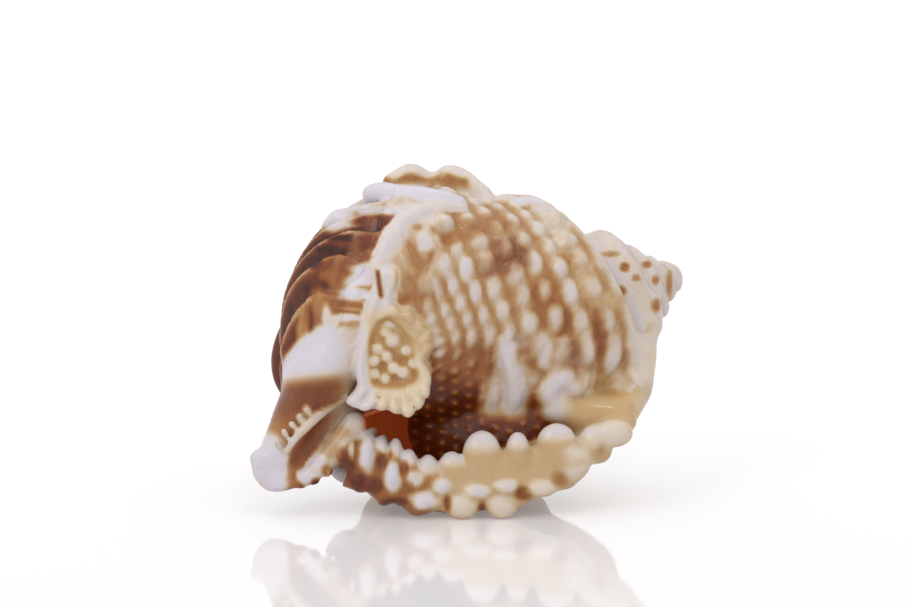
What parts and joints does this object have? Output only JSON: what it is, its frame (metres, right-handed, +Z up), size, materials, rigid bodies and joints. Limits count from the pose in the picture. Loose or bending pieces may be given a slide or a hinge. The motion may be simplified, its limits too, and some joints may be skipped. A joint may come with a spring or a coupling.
{
  "type": "sea snail shell",
  "caption": "Sea snail shell lying on its thick toothed lip, with a beaded whorl, an ear-shaped plate over the mouth, a short open canal and a low knobbly spire.",
  "frame": {"origin": "on the surface that the shell lies on, below the middle of its box", "axes": "+X towards the spire, -Y out of the mouth, +Z up from the surface that the shell lies on"},
  "size_m": [0.053, 0.0294, 0.0415],
  "materials": {
    "shell": "glossy shell lime, tan and brown with cream beads and white glazed patches"
  },
  "bodies": {
    "root": {"shell": "shell"}
  },
  "joints": []
}
